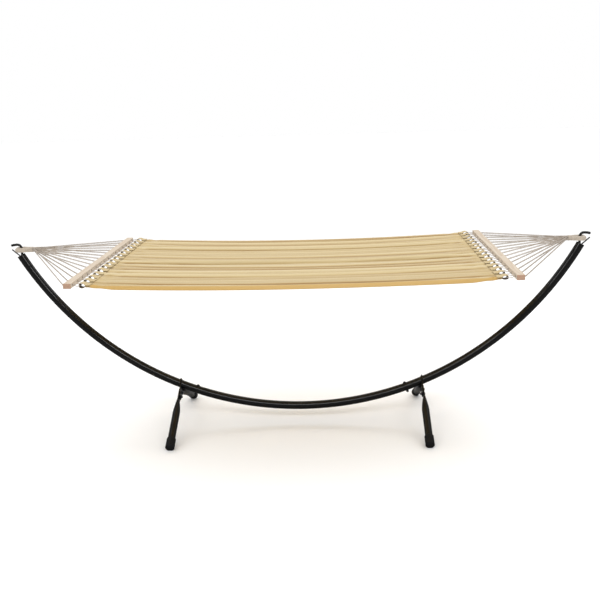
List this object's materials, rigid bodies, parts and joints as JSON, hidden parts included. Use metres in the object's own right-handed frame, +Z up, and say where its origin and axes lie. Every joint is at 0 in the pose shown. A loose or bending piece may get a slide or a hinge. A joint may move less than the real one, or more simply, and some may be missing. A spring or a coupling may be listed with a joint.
{
  "type": "hammock on stand",
  "caption": "Fabric hammock with wooden spreader bars and fanned cords, hung by rope eyes from the hooks of a bent-tube arc stand on splayed legs.",
  "frame": {"origin": "on the floor under the middle of the stand", "axes": "+X along the hammock from the left hook to the right hook, +Y across it to the back, +Z up"},
  "size_m": [2.9395, 1.2, 0.9944],
  "materials": {
    "black_steel": "satin black powder coat on bent steel tube",
    "fasteners": "black-coated bolts, washers and nuts",
    "foot_plastic": "moulded black plastic foot caps",
    "bar_wood": "planed pale softwood, unvarnished",
    "bed_fabric": "sand-coloured woven cloth with soft lengthwise folds",
    "cord": "twisted off-white cord",
    "eye_rope": "rope loop bound with cord"
  },
  "bodies": {
    "stand": {"arc_centre_tube": "black_steel", "arc_left_arm": "black_steel", "arc_right_arm": "black_steel", "joint_saddle_washers": "fasteners", "joint_bolts": "fasteners", "joint_nuts": "fasteners", "left_hook": "black_steel", "right_hook": "black_steel", "left_leg_bracket": "black_steel", "right_leg_bracket": "black_steel", "left_front_leg": "black_steel", "left_rear_leg": "black_steel", "right_front_leg": "black_steel", "right_rear_leg": "black_steel", "left_front_foot_cap": "foot_plastic", "left_rear_foot_cap": "foot_plastic", "right_front_foot_cap": "foot_plastic", "right_rear_foot_cap": "foot_plastic", "leg_bolts": "fasteners", "leg_washers": "fasteners", "leg_nuts": "fasteners"},
    "hammock": {"left_spreader_bar": "bar_wood", "right_spreader_bar": "bar_wood", "fabric_bed": "bed_fabric", "left_eye": "eye_rope", "right_eye": "eye_rope", "left_whipping": "eye_rope", "right_whipping": "eye_rope", "left_cord_01": "cord", "left_cord_02": "cord", "left_cord_03": "cord", "left_cord_04": "cord", "left_cord_05": "cord", "left_cord_06": "cord", "left_cord_07": "cord", "left_cord_08": "cord", "left_cord_09": "cord", "left_cord_10": "cord", "left_cord_11": "cord", "left_cord_12": "cord", "left_cord_13": "cord", "left_cord_14": "cord", "left_cord_15": "cord", "left_cord_16": "cord", "right_cord_01": "cord", "right_cord_02": "cord", "right_cord_03": "cord", "right_cord_04": "cord", "right_cord_05": "cord", "right_cord_06": "cord", "right_cord_07": "cord", "right_cord_08": "cord", "right_cord_09": "cord", "right_cord_10": "cord", "right_cord_11": "cord", "right_cord_12": "cord", "right_cord_13": "cord", "right_cord_14": "cord", "right_cord_15": "cord", "right_cord_16": "cord"}
  },
  "joints": [
    {"name": "hammock_swing", "type": "hinge", "parent": "stand", "child": "hammock", "pos_m": [0, 0, 0.962], "axis": [1, 0, 0], "range_deg": [-30, 30]}
  ]
}
